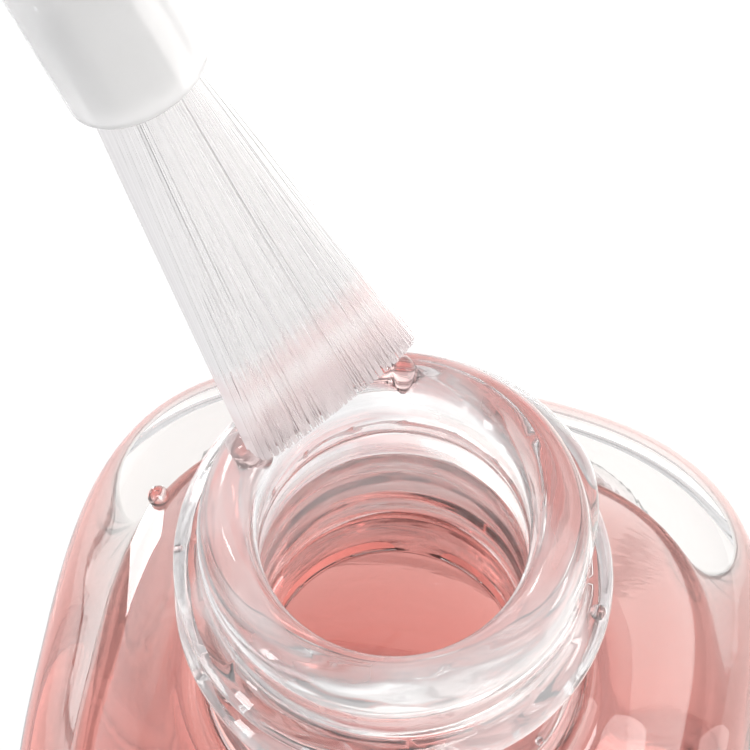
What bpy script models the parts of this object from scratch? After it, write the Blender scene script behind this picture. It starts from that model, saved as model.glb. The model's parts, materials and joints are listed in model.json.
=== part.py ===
"""Nail polish bottle with its brush applicator, open, the brush wiped across the rim.

World frame: metres, +Z up. The bottle stands on Z = 0 with its neck on the Z axis and its
faces square to X and Y. The applicator is modelled along its own axis: local Z = 0 is the
mouth of the stem, where the bristles come out, the bristles point down (-Z) and the cap is up.
"""

import math

import bmesh
import bpy
from mathutils import Matrix, Vector

MM = 0.001
GAP = 0.3 * MM

# Bottle body
BODY_HALF_WIDTH = 11.25 * MM
BODY_HALF_DEPTH = 11.4 * MM
BODY_SQUARENESS = 3.2
BASE_EDGE = 1.6 * MM
FOOT_SHRINK = 0.95
SHOULDER_START = 38.0 * MM
NECK_BASE = 42.3 * MM
SHOULDER_POWER = 2.2
WALL = 2.65 * MM
FLOOR = 5.0 * MM
CAVITY_ROUND = 3.0 * MM
CAVITY_TOP = 41.0 * MM
CAVITY_SHOULDER = 36.8 * MM

# Threaded neck, a 13 mm two-turn finish
RIM_TOP = 53.5 * MM
NECK_RADIUS = 5.85 * MM
NECK_FOOT_RADIUS = 7.0 * MM
NECK_FOOT_HEIGHT = 1.4 * MM
BORE_RADIUS = 4.05 * MM
RIM_ROUND = 0.85 * MM
THREAD_HEIGHT = 0.75 * MM
THREAD_PITCH = 2.12 * MM
THREAD_TURNS = 2.0
THREAD_START = 1.9 * MM
THREAD_HALF_WIDTH = 0.72 * MM
THREAD_RUN_OUT = 0.12

# Polish and mixing balls
FILL_LEVEL = 44.6 * MM
BALL_RADIUS = 2.0 * MM
BALL_SPACING = 5.2 * MM
BALL_TRAVEL = 8.0 * MM

# How the applicator lies on the rim
TIP_RADIUS = 4.1 * MM
TIP_AZIMUTH = math.radians(127.1)
TIP_ABOVE_RIM = 0.8 * MM
LEAN = math.radians(31.0)
LEAN_AZIMUTH = math.radians(151.4)
WIDTH_AZIMUTH = math.radians(46.6)

# Bristles
BRISTLE_LENGTH = 14.0 * MM
ROOT_RADIUS = 1.75 * MM
ROOT_DEPTH = 3.2 * MM
TIP_HALF_WIDTH = 3.1 * MM
TIP_HALF_THICKNESS = 0.65 * MM
TIP_ROUND = 0.9 * MM
TIP_SQUARENESS = 2.8
TUFT_THINNING = 1.6

# Stem
STEM_RADIUS = 2.25 * MM
SOCKET_RADIUS = 1.95 * MM
SOCKET_DEPTH = 5.2 * MM
PLUG_BOTTOM = 28.5 * MM
PLUG_RADIUS = 3.75 * MM
PLUG_TAPER = 2.5 * MM
STEM_LIP = 0.12 * MM
FLANGE_BOTTOM = 33.6 * MM
FLANGE_TOP = 34.8 * MM
FLANGE_RADIUS = 5.6 * MM
SNAP_NECK_RADIUS = 2.2 * MM
SNAP_HEAD_RADIUS = 3.0 * MM
SNAP_HEAD_HEIGHT = 0.9 * MM
SNAP_HEAD_TAPER = 0.4 * MM
STAPLE_HALF_LENGTH = 1.6 * MM
STAPLE_HALF_THICKNESS = 0.22 * MM
STAPLE_HEIGHT = 1.1 * MM
STAPLE_EDGE = 0.08 * MM

# Caps
LINER_BOTTOM = 32.5 * MM
LINER_THICKNESS = 0.8 * MM
LINER_OUTER = 5.6 * MM
LINER_INNER = 4.05 * MM
SKIRT_BOTTOM = 22.0 * MM
DECK_BOTTOM = 35.1 * MM
DECK_THICKNESS = 1.2 * MM
INNER_CAP_RADIUS = 7.6 * MM
INNER_CAP_BORE = 6.85 * MM
INNER_CAP_EDGE = 0.7 * MM
RIB_DEPTH = 0.2 * MM
RIB_COUNT = 24
CAP_THREAD_SHARE = 0.8
SNAP_HOLE_RADIUS = 2.55 * MM
OVERCAP_BOTTOM = 21.6 * MM
OVERCAP_LENGTH = 32.5 * MM
OVERCAP_RADIUS = 8.8 * MM
OVERCAP_WALL = 0.9 * MM
OVERCAP_TOP_WALL = 1.3 * MM
OVERCAP_EDGE = 1.2 * MM
OVERCAP_LIP = 0.25 * MM

# Fineness of the solids
BOTTLE_SEGMENTS = 48
ROUND_SEGMENTS = 36
TUFT_SEGMENTS = 24
EDGE_STEPS = 3
RIM_STEPS = 5
SIDE_STEPS = 4
SHOULDER_STEPS = 8
CAVITY_STEPS = 6
NECK_THREAD_STEPS = 20
CAP_THREAD_STEPS = 14
TUFT_STEPS = 7
SMOOTH_ANGLE = math.radians(40.0)


def clear_scene():
    for existing in list(bpy.data.objects):
        bpy.data.objects.remove(existing, do_unlink=True)


def make_material(name, colour, roughness, metallic=0.0, alpha=1.0):
    material = bpy.data.materials.new(name)
    material.use_nodes = True
    shader = material.node_tree.nodes["Principled BSDF"]
    shader.inputs["Base Color"].default_value = (*colour, 1.0)
    shader.inputs["Roughness"].default_value = roughness
    shader.inputs["Metallic"].default_value = metallic
    shader.inputs["Alpha"].default_value = alpha
    return material


def finish_object(name, bm, material, parent=None):
    """Write a closed bmesh to a smooth-shaded object named after its node."""
    bmesh.ops.recalc_face_normals(bm, faces=bm.faces)
    bmesh.ops.triangulate(bm, faces=bm.faces)
    mesh = bpy.data.meshes.new(name)
    bm.to_mesh(mesh)
    bm.free()
    mesh.shade_smooth()
    mesh.set_sharp_from_angle(angle=SMOOTH_ANGLE)
    mesh.materials.append(material)
    made = bpy.data.objects.new(name, mesh)
    bpy.context.collection.objects.link(made)
    if parent is not None:
        made.parent = parent
    return made


def skin_rings(rings):
    """Join rings of points, each of the same count, into one closed skin with flat ends.

    The first ring is a filled circle of edges that is extruded and put in place ring by ring.
    """
    bm = bmesh.new()
    count = len(rings[0])
    bmesh.ops.create_circle(bm, cap_ends=True, segments=count, radius=1.0)
    bm.verts.ensure_lookup_table()
    bm.faces.ensure_lookup_table()
    verts = list(bm.verts)
    edges = list(bm.edges)
    for vert, point in zip(verts, rings[0]):
        vert.co = point
    for ring in rings[1:]:
        extruded = bmesh.ops.extrude_edge_only(bm, edges=edges)["geom"]
        edges = [item for item in extruded if isinstance(item, bmesh.types.BMEdge)]
        new_verts = [item for item in extruded if isinstance(item, bmesh.types.BMVert)]
        joined = {vert: None for vert in verts}
        fresh = set(new_verts)
        for vert in verts:
            for edge in vert.link_edges:
                other = edge.other_vert(vert)
                if other in fresh:
                    joined[vert] = other
        verts = [joined[vert] for vert in verts]
        loop = set(verts)
        edges = [edge for edge in edges if edge.verts[0] in loop and edge.verts[1] in loop]
        for vert, point in zip(verts, ring):
            vert.co = point
    bmesh.ops.contextual_create(bm, geom=edges)
    return bm


def turned(profile, segments=ROUND_SEGMENTS):
    """Spin a closed profile of (radius, height) points about local Z."""
    bm = bmesh.new()
    verts = [bm.verts.new((radius, 0.0, height)) for radius, height in profile]
    edges = [bm.edges.new((a, b)) for a, b in zip(verts, verts[1:] + verts[:1])]
    bmesh.ops.spin(bm, geom=verts + edges, axis=(0.0, 0.0, 1.0), cent=(0.0, 0.0, 0.0),
                   angle=math.tau, steps=segments, use_duplicate=False)
    bmesh.ops.remove_doubles(bm, verts=bm.verts, dist=0.01 * MM)
    bmesh.ops.dissolve_degenerate(bm, edges=bm.edges, dist=0.001 * MM)
    return bm


def arc(centre, radius, start, end, steps):
    """Points on a (radius, height) profile along a circular arc, angles in degrees."""
    points = []
    for step in range(steps + 1):
        angle = math.radians(start + (end - start) * step / steps)
        points.append((centre[0] + radius * math.cos(angle), centre[1] + radius * math.sin(angle)))
    return points


def body_radius(angle):
    """Plan outline of the body: a square with bowed sides and soft corners."""
    across = abs(math.cos(angle)) / BODY_HALF_WIDTH
    along = abs(math.sin(angle)) / BODY_HALF_DEPTH
    return (across ** BODY_SQUARENESS + along ** BODY_SQUARENESS) ** (-1.0 / BODY_SQUARENESS)


def ring_of(radius_at, height):
    points = []
    for step in range(BOTTLE_SEGMENTS):
        angle = math.tau * step / BOTTLE_SEGMENTS
        radius = radius_at(angle)
        points.append(Vector((radius * math.cos(angle), radius * math.sin(angle), height)))
    return points


def thread_bump(angle, depth):
    """Height of the helical thread over the neck wall, at a depth below the rim."""
    bump = 0.0
    for turn in range(math.ceil(THREAD_TURNS)):
        along = angle / math.tau + turn
        if along > THREAD_TURNS:
            continue
        offset = abs(depth - THREAD_START - THREAD_PITCH * along)
        if offset < THREAD_HALF_WIDTH:
            run_in = min(1.0, along / THREAD_RUN_OUT, (THREAD_TURNS - along) / THREAD_RUN_OUT)
            bump = max(bump, run_in * math.cos(0.5 * math.pi * offset / THREAD_HALF_WIDTH) ** 0.7)
    return bump * THREAD_HEIGHT


def dome(steps, first=0):
    """Share of the way up and share of the body outline left, over a domed shoulder."""
    pairs = []
    for step in range(first, steps + 1):
        angle = 0.5 * math.pi * step / steps
        rise = math.sin(angle) ** (2.0 / SHOULDER_POWER)
        left = math.cos(angle) ** (2.0 / SHOULDER_POWER)
        pairs.append((rise, left))
    return pairs


def outer_rings():
    """Rings of the glass from the middle of its base up the outside to the rim."""
    rings = [ring_of(lambda a: body_radius(a) * (FOOT_SHRINK - BASE_EDGE / BODY_HALF_DEPTH), 0.0)]
    for step in range(1, EDGE_STEPS + 1):
        angle = 0.5 * math.pi * step / EDGE_STEPS
        inset = BASE_EDGE * (1.0 - math.sin(angle)) / BODY_HALF_DEPTH
        height = BASE_EDGE * (1.0 - math.cos(angle))
        rings.append(ring_of(lambda a, k=FOOT_SHRINK - inset: body_radius(a) * k, height))
    for step in range(1, SIDE_STEPS + 1):
        share = step / SIDE_STEPS
        scale = FOOT_SHRINK + (1.0 - FOOT_SHRINK) * math.sin(0.5 * math.pi * share)
        height = BASE_EDGE + (SHOULDER_START - BASE_EDGE) * share
        rings.append(ring_of(lambda a, k=scale: body_radius(a) * k, height))
    for rise, left in dome(SHOULDER_STEPS, first=1):
        height = SHOULDER_START + (NECK_BASE - SHOULDER_START) * rise
        rings.append(ring_of(lambda a, k=left: body_radius(a) * k + NECK_FOOT_RADIUS * (1.0 - k), height))
    for step in range(1, EDGE_STEPS + 1):
        angle = 0.5 * math.pi * step / EDGE_STEPS
        radius = NECK_FOOT_RADIUS - (NECK_FOOT_RADIUS - NECK_RADIUS) * math.sin(angle)
        height = NECK_BASE + NECK_FOOT_HEIGHT * (1.0 - math.cos(angle))
        rings.append(ring_of(lambda a, r=radius: r, height))
    thread_bottom = THREAD_START + THREAD_PITCH * THREAD_TURNS + 1.4 * THREAD_HALF_WIDTH
    thread_top = THREAD_START - 1.1 * THREAD_HALF_WIDTH
    for step in range(NECK_THREAD_STEPS + 1):
        depth = thread_bottom + (thread_top - thread_bottom) * step / NECK_THREAD_STEPS
        rings.append(ring_of(lambda a, d=depth: NECK_RADIUS + thread_bump(a, d), RIM_TOP - depth))
    rim_centre = (NECK_RADIUS - RIM_ROUND, RIM_TOP - RIM_ROUND)
    for radius, height in arc(rim_centre, RIM_ROUND, 0, 90, RIM_STEPS):
        rings.append(ring_of(lambda a, r=radius: r, height))
    return rings


def cavity_rings(offset):
    """Rings down the cavity wall, drawn in by an offset, from the shoulder to its floor."""
    share = 1.0 - (WALL + offset) / BODY_HALF_DEPTH
    mouth = BORE_RADIUS - offset
    rings = []
    for rise, left in reversed(dome(CAVITY_STEPS)):
        height = CAVITY_SHOULDER + (CAVITY_TOP - offset - CAVITY_SHOULDER) * rise
        rings.append(ring_of(lambda a, k=left: body_radius(a) * share * k + mouth * (1.0 - k), height))
    for step in range(EDGE_STEPS + 1):
        angle = 0.5 * math.pi * step / EDGE_STEPS
        inset = CAVITY_ROUND * (1.0 - math.cos(angle)) / BODY_HALF_DEPTH
        height = FLOOR + offset + CAVITY_ROUND * (1.0 - math.sin(angle))
        rings.append(ring_of(lambda a, k=share - inset: body_radius(a) * k, height))
    return rings


def make_bottle(material):
    rings = outer_rings()
    rim_centre = (BORE_RADIUS + RIM_ROUND, RIM_TOP - RIM_ROUND)
    for radius, height in arc(rim_centre, RIM_ROUND, 90, 180, RIM_STEPS):
        rings.append(ring_of(lambda a, r=radius: r, height))
    rings.append(ring_of(lambda a: BORE_RADIUS, 0.5 * (RIM_TOP + CAVITY_TOP)))
    rings.extend(cavity_rings(0.0))
    return finish_object("glass_bottle", skin_rings(rings), material)


def ball_places():
    return [Vector((side * 0.5 * BALL_SPACING, 0.0, FLOOR + GAP + BALL_RADIUS)) for side in (-1, 1)]


def make_polish(material):
    """The liquid, up into the neck and clear of the glass, with a shaft in which each ball can rise."""
    rings = [ring_of(lambda a: BORE_RADIUS - GAP, FILL_LEVEL)] + cavity_rings(GAP)
    polish = finish_object("nail_polish", skin_rings(rings), material)
    for number, place in enumerate(ball_places(), start=1):
        height = BALL_TRAVEL + 2.0 * BALL_RADIUS + 4.0 * GAP
        bm = bmesh.new()
        centre = Matrix.Translation((place.x, place.y, place.z - BALL_RADIUS + 0.5 * height - 2.0 * GAP))
        bmesh.ops.create_cone(bm, cap_ends=True, segments=20, radius1=BALL_RADIUS + GAP,
                              radius2=BALL_RADIUS + GAP, depth=height, matrix=centre)
        cutter_mesh = bpy.data.meshes.new(f"ball_shaft_{number}")
        bm.to_mesh(cutter_mesh)
        bm.free()
        cutter = bpy.data.objects.new(f"ball_shaft_{number}", cutter_mesh)
        bpy.context.collection.objects.link(cutter)
        cutter.hide_render = True
        cutter.display_type = "WIRE"
        cut = polish.modifiers.new(f"ball_shaft_{number}", "BOOLEAN")
        cut.operation = "DIFFERENCE"
        cut.solver = "EXACT"
        cut.object = cutter
    return polish


def make_balls(material):
    for number, place in enumerate(ball_places(), start=1):
        bm = bmesh.new()
        bmesh.ops.create_uvsphere(bm, u_segments=16, v_segments=10, radius=BALL_RADIUS)
        ball = finish_object(f"mixing_ball_{number}", bm, material)
        ball.location = place


def applicator_axes():
    """Rotation of the applicator: local Z up its stem, local X across the flat of the bristles."""
    outward = Vector((math.cos(LEAN_AZIMUTH), math.sin(LEAN_AZIMUTH), 0.0))
    up = outward * math.sin(LEAN) + Vector((0.0, 0.0, math.cos(LEAN)))
    across = Vector((math.cos(WIDTH_AZIMUTH), math.sin(WIDTH_AZIMUTH), 0.0))
    across = (across - up * across.dot(up)).normalized()
    return Matrix((across, up.cross(across), up)).transposed()


def make_applicator_empty():
    turn = applicator_axes()
    tip = Vector((math.cos(TIP_AZIMUTH), math.sin(TIP_AZIMUTH), 0.0)) * TIP_RADIUS
    tip.z = RIM_TOP + TIP_ABOVE_RIM
    mouth = tip + turn @ Vector((0.0, 0.0, BRISTLE_LENGTH))
    empty = bpy.data.objects.new("applicator_axis", None)
    bpy.context.collection.objects.link(empty)
    empty.matrix_world = Matrix.Translation(mouth) @ turn.to_4x4()
    return empty


def oval_ring(half_width, half_thickness, squareness, height):
    points = []
    for step in range(TUFT_SEGMENTS):
        angle = math.tau * step / TUFT_SEGMENTS
        across = math.cos(angle)
        through = math.sin(angle)
        points.append(Vector((
            half_width * math.copysign(abs(across) ** (2.0 / squareness), across),
            half_thickness * math.copysign(abs(through) ** (2.0 / squareness), through),
            height,
        )))
    return points


def make_tuft(material, parent):
    """The bristles as one flat paddle: a round root in the stem, flared to a wide rounded tip."""
    rings = [oval_ring(ROOT_RADIUS, ROOT_RADIUS, 2.0, ROOT_DEPTH)]
    flare = BRISTLE_LENGTH - TIP_ROUND
    for step in range(TUFT_STEPS + 1):
        share = step / TUFT_STEPS
        half_width = ROOT_RADIUS + (TIP_HALF_WIDTH - ROOT_RADIUS) * share
        thinning = (1.0 - share) ** TUFT_THINNING
        half_thickness = TIP_HALF_THICKNESS + (ROOT_RADIUS - TIP_HALF_THICKNESS) * thinning
        squareness = 2.0 + (TIP_SQUARENESS - 2.0) * share
        rings.append(oval_ring(half_width, half_thickness, squareness, -flare * share))
    last_angle = 0.5 * math.pi * EDGE_STEPS / (EDGE_STEPS + 1)
    for step in range(1, EDGE_STEPS + 1):
        angle = last_angle * step / EDGE_STEPS
        half_width = TIP_HALF_WIDTH - TIP_ROUND * (1.0 - math.cos(angle))
        half_thickness = TIP_HALF_THICKNESS * math.cos(angle)
        height = -flare - TIP_ROUND * math.sin(angle) / math.sin(last_angle)
        rings.append(oval_ring(half_width, half_thickness, TIP_SQUARENESS, height))
    return finish_object("bristle_tuft", skin_rings(rings), material, parent)


def make_staple(material, parent):
    """The flat wire that the bristles are folded over, across the top of the stem's socket."""
    bm = bmesh.new()
    middle = ROOT_DEPTH + 0.5 * GAP + 0.5 * STAPLE_HEIGHT
    size = Matrix.Diagonal((2.0 * STAPLE_HALF_LENGTH, 2.0 * STAPLE_HALF_THICKNESS, STAPLE_HEIGHT, 1.0))
    bmesh.ops.create_cube(bm, size=1.0, matrix=Matrix.Translation((0.0, 0.0, middle)) @ size)
    bmesh.ops.bevel(bm, geom=bm.edges[:], offset=STAPLE_EDGE, segments=1, affect="EDGES")
    return finish_object("tuft_staple", bm, material, parent)


def make_stem(material, parent):
    """Clear rod with the bristle socket, the plug that seats in the bottle's bore, and a snap head."""
    head_bottom = DECK_BOTTOM + DECK_THICKNESS + GAP
    head_top = head_bottom + SNAP_HEAD_HEIGHT
    profile = [
        (0.0, SOCKET_DEPTH),
        (SOCKET_RADIUS, SOCKET_DEPTH),
        (SOCKET_RADIUS, STEM_LIP),
        (SOCKET_RADIUS + STEM_LIP, 0.0),
        (STEM_RADIUS - STEM_LIP, 0.0),
        (STEM_RADIUS, STEM_LIP),
        (STEM_RADIUS, PLUG_BOTTOM - PLUG_TAPER),
        (0.5 * (STEM_RADIUS + PLUG_RADIUS), PLUG_BOTTOM - 0.3 * PLUG_TAPER),
        (PLUG_RADIUS, PLUG_BOTTOM + 0.4 * PLUG_TAPER),
        (PLUG_RADIUS, FLANGE_BOTTOM),
        (FLANGE_RADIUS, FLANGE_BOTTOM),
        (FLANGE_RADIUS, FLANGE_TOP),
        (SNAP_NECK_RADIUS, FLANGE_TOP),
        (SNAP_NECK_RADIUS, head_bottom),
        (SNAP_HEAD_RADIUS, head_bottom),
        (SNAP_HEAD_RADIUS - SNAP_HEAD_TAPER, head_top),
        (0.0, head_top),
    ]
    return finish_object("brush_stem", turned(profile), material, parent)


def make_liner(material, parent):
    top = LINER_BOTTOM + LINER_THICKNESS
    profile = [
        (LINER_INNER, LINER_BOTTOM),
        (LINER_OUTER, LINER_BOTTOM),
        (LINER_OUTER, top),
        (LINER_INNER, top),
    ]
    return finish_object("cap_liner", turned(profile), material, parent)


def make_inner_cap(material, parent):
    """Threaded closure: ribbed outside, a helical thread inside its skirt, and a holed deck."""
    deck_top = DECK_BOTTOM + DECK_THICKNESS

    def ribbed(angle):
        return INNER_CAP_RADIUS - RIB_DEPTH * (0.5 - 0.5 * math.cos(RIB_COUNT * angle))

    def cap_thread(angle, height):
        depth = LINER_BOTTOM - height
        return INNER_CAP_BORE - CAP_THREAD_SHARE * thread_bump((angle + math.pi) % math.tau, depth)

    rings = [
        ring_of(lambda a: SNAP_HOLE_RADIUS, DECK_BOTTOM),
        ring_of(lambda a: SNAP_HOLE_RADIUS, deck_top),
        ring_of(lambda a: INNER_CAP_RADIUS - INNER_CAP_EDGE, deck_top),
        ring_of(ribbed, deck_top - INNER_CAP_EDGE),
        ring_of(ribbed, SKIRT_BOTTOM + 0.5 * INNER_CAP_EDGE),
        ring_of(lambda a: INNER_CAP_RADIUS - 0.5 * INNER_CAP_EDGE, SKIRT_BOTTOM),
        ring_of(lambda a: INNER_CAP_BORE, SKIRT_BOTTOM),
    ]
    thread_bottom = LINER_BOTTOM - THREAD_START - THREAD_PITCH * THREAD_TURNS - 1.3 * THREAD_HALF_WIDTH
    thread_top = LINER_BOTTOM - THREAD_START + 1.3 * THREAD_HALF_WIDTH
    for step in range(CAP_THREAD_STEPS + 1):
        height = thread_bottom + (thread_top - thread_bottom) * step / CAP_THREAD_STEPS
        rings.append(ring_of(lambda a, z=height: cap_thread(a, z), height))
    rings.append(ring_of(lambda a: INNER_CAP_BORE, DECK_BOTTOM))
    return finish_object("inner_cap", ring_loop(rings), material, parent)


def ring_loop(rings):
    """Skin rings into a tube whose last ring meets its first: a body with a hole through it."""
    bm = skin_rings(rings)
    ends = [face for face in bm.faces if len(face.verts) == len(rings[0])]
    loops = [edge for face in ends for edge in face.edges]
    bmesh.ops.delete(bm, geom=ends, context="FACES_ONLY")
    bmesh.ops.bridge_loops(bm, edges=loops)
    return bm


def make_overcap(material, parent):
    """Plain outer cap that pushes over the threaded one."""
    top = OVERCAP_BOTTOM + OVERCAP_LENGTH
    bore = OVERCAP_RADIUS - OVERCAP_WALL
    ceiling = top - OVERCAP_TOP_WALL
    profile = [
        (0.0, ceiling),
        (bore - 0.5 * OVERCAP_EDGE, ceiling),
        (bore, ceiling - 0.5 * OVERCAP_EDGE),
        (bore, OVERCAP_BOTTOM + OVERCAP_LIP),
        (bore + OVERCAP_LIP, OVERCAP_BOTTOM),
        (OVERCAP_RADIUS - OVERCAP_LIP, OVERCAP_BOTTOM),
        (OVERCAP_RADIUS, OVERCAP_BOTTOM + OVERCAP_LIP),
    ]
    profile += arc((OVERCAP_RADIUS - OVERCAP_EDGE, top - OVERCAP_EDGE), OVERCAP_EDGE, 0, 90, RIM_STEPS)
    profile += [(0.0, top)]
    return finish_object("overcap", turned(profile, BOTTLE_SEGMENTS), material, parent)


def main():
    clear_scene()
    glass = make_material("clear_glass", (0.93, 0.94, 0.94), 0.02, alpha=0.35)
    liquid = make_material("pink_polish", (0.86, 0.36, 0.36), 0.1)
    steel = make_material("bright_steel", (0.72, 0.72, 0.73), 0.2, metallic=1.0)
    nylon = make_material("nylon_bristle", (0.86, 0.80, 0.80), 0.4)
    clear_plastic = make_material("clear_stem_plastic", (0.82, 0.82, 0.82), 0.08)
    white_plastic = make_material("white_plastic", (0.90, 0.90, 0.89), 0.35)
    seal = make_material("seal_foam", (0.92, 0.92, 0.90), 0.7)
    gloss = make_material("gloss_cap", (0.93, 0.93, 0.93), 0.1)

    make_bottle(glass)
    make_polish(liquid)
    make_balls(steel)
    empty = make_applicator_empty()
    make_tuft(nylon, empty)
    make_staple(steel, empty)
    make_stem(clear_plastic, empty)
    make_liner(seal, empty)
    make_inner_cap(white_plastic, empty)
    make_overcap(gloss, empty)


main()
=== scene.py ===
import json
import math
import random

import bmesh
import bpy
from mathutils import Matrix, Vector, noise


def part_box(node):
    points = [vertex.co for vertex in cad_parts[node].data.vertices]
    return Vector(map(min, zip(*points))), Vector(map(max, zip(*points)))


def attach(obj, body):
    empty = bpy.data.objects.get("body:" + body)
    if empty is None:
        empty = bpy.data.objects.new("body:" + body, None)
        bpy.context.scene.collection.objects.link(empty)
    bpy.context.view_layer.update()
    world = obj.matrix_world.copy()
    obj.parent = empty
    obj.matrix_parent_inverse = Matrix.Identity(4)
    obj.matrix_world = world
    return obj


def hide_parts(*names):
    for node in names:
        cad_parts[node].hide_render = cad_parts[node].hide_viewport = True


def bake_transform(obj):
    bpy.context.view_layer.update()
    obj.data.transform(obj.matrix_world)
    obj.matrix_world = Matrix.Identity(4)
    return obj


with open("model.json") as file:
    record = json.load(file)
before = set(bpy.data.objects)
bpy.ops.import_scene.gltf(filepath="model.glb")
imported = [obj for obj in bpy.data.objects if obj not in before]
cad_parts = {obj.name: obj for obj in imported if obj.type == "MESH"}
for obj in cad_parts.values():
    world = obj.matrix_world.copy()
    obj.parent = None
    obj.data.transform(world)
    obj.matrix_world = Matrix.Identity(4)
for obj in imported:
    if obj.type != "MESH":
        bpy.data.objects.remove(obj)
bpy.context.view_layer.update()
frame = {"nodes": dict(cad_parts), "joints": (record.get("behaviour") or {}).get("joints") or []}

mm = 0.001
fullTurn = math.tau
mergeWithin = 0.002 * mm

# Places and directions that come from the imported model
joints = {joint["name"]: joint for joint in frame["joints"]}
stemMouth = Vector(joints["brush_flex"]["pos_m"])
brushUp = Vector(joints["cap_turn"]["axis"]).normalized()
brushAcross = Vector(joints["brush_flex"]["axis"]).normalized()
brushThrough = brushUp.cross(brushAcross)
brushTurn = Matrix((brushAcross, brushThrough, brushUp)).transposed()
brushPlace = Matrix.Translation(stemMouth) @ brushTurn.to_4x4()
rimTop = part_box("glass_bottle")[1].z


def deselectAll():
    for thing in bpy.context.selected_objects:
        thing.select_set(False)


def startEdit(piece):
    deselectAll()
    bpy.context.view_layer.objects.active = piece
    piece.select_set(True)
    bpy.ops.object.mode_set(mode="EDIT")


def endEdit():
    bpy.ops.object.mode_set(mode="OBJECT")


def nameIt(name):
    piece = bpy.context.object
    piece.name = name
    piece.data.name = name
    return piece


def arcPoints(centre, radius, start, end, steps):
    # points of a circular arc on a (radius, height) outline, angles in degrees
    points = []
    for step in range(steps + 1):
        angle = math.radians(start + (end - start) * step / steps)
        points.append((centre[0] + radius * math.cos(angle), centre[1] + radius * math.sin(angle)))
    return points


def spinProfile(name, outline, steps):
    # draws an outline in millimetres by extruding one vertex from point to point, then spins it about Z
    points = [(radius * mm, height * mm) for radius, height in outline]
    deselectAll()
    bpy.ops.mesh.primitive_plane_add(size=mm, location=(0, 0, 0))
    piece = nameIt(name)
    bpy.ops.object.mode_set(mode="EDIT")
    bpy.ops.mesh.select_all(action="SELECT")
    bpy.ops.mesh.merge(type="CENTER")
    bpy.ops.transform.translate(value=(points[0][0], 0, points[0][1]))
    for before, after in zip(points, points[1:]):
        step = (after[0] - before[0], 0, after[1] - before[1])
        bpy.ops.mesh.extrude_region_move(TRANSFORM_OT_translate={"value": step})
    bpy.ops.mesh.select_all(action="SELECT")
    bpy.ops.mesh.spin(steps=steps, angle=fullTurn, center=(0, 0, 0), axis=(0, 0, 1))
    bpy.ops.mesh.select_all(action="SELECT")
    bpy.ops.mesh.remove_doubles(threshold=mergeWithin)
    bpy.ops.mesh.normals_make_consistent(inside=False)
    endEdit()
    return piece


def applyPlace():
    bpy.ops.object.transform_apply(location=True, rotation=True, scale=True)


def finishPiece(piece, angle, look, place=None):
    # smooth shading below an angle in degrees, the piece's place in its mesh, and its material
    deselectAll()
    bpy.context.view_layer.objects.active = piece
    piece.select_set(True)
    bpy.ops.object.shade_smooth_by_angle(angle=math.radians(angle))
    if place is not None:
        piece.data.transform(place)
    piece.data.update()
    piece.data.materials.clear()
    piece.data.materials.append(look)


def dressNode(name, look):
    node = frame["nodes"][name]
    node.data.materials.clear()
    node.data.materials.append(look)


class Wire:
    # one socket of a material, which can stand in a sum
    def __init__(self, tree, socket):
        self.tree = tree
        self.socket = socket

    def maths(self, operation, first, second):
        return addNode(self.tree, "ShaderNodeMath", {"operation": operation}, _0=first, _1=second)

    def __add__(self, other):
        return self.maths("ADD", self, other)

    def __rsub__(self, other):
        return self.maths("SUBTRACT", other, self)

    def __mul__(self, other):
        return self.maths("MULTIPLY", self, other)

    __radd__ = __add__
    __rmul__ = __mul__


def addNode(tree, kind, settings=None, output=0, **values):
    # settings come first; a socket is given by its name, or by its number after an underscore
    made = tree.nodes.new(kind)
    for setting, value in (settings or {}).items():
        if setting == "stops":
            ramp = made.color_ramp
            for number, (place, colour) in enumerate(value):
                stop = ramp.elements[number] if number < 2 else ramp.elements.new(place)
                stop.position = place
                stop.color = (*colour, 1.0)
        else:
            setattr(made, setting, value)
    for socketName, value in values.items():
        key = int(socketName[1:]) if socketName[1:].isdigit() else socketName.replace("_", " ")
        if isinstance(value, Wire):
            tree.links.new(value.socket, made.inputs[key])
        else:
            made.inputs[key].default_value = value
    return Wire(tree, made.outputs[output])


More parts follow.
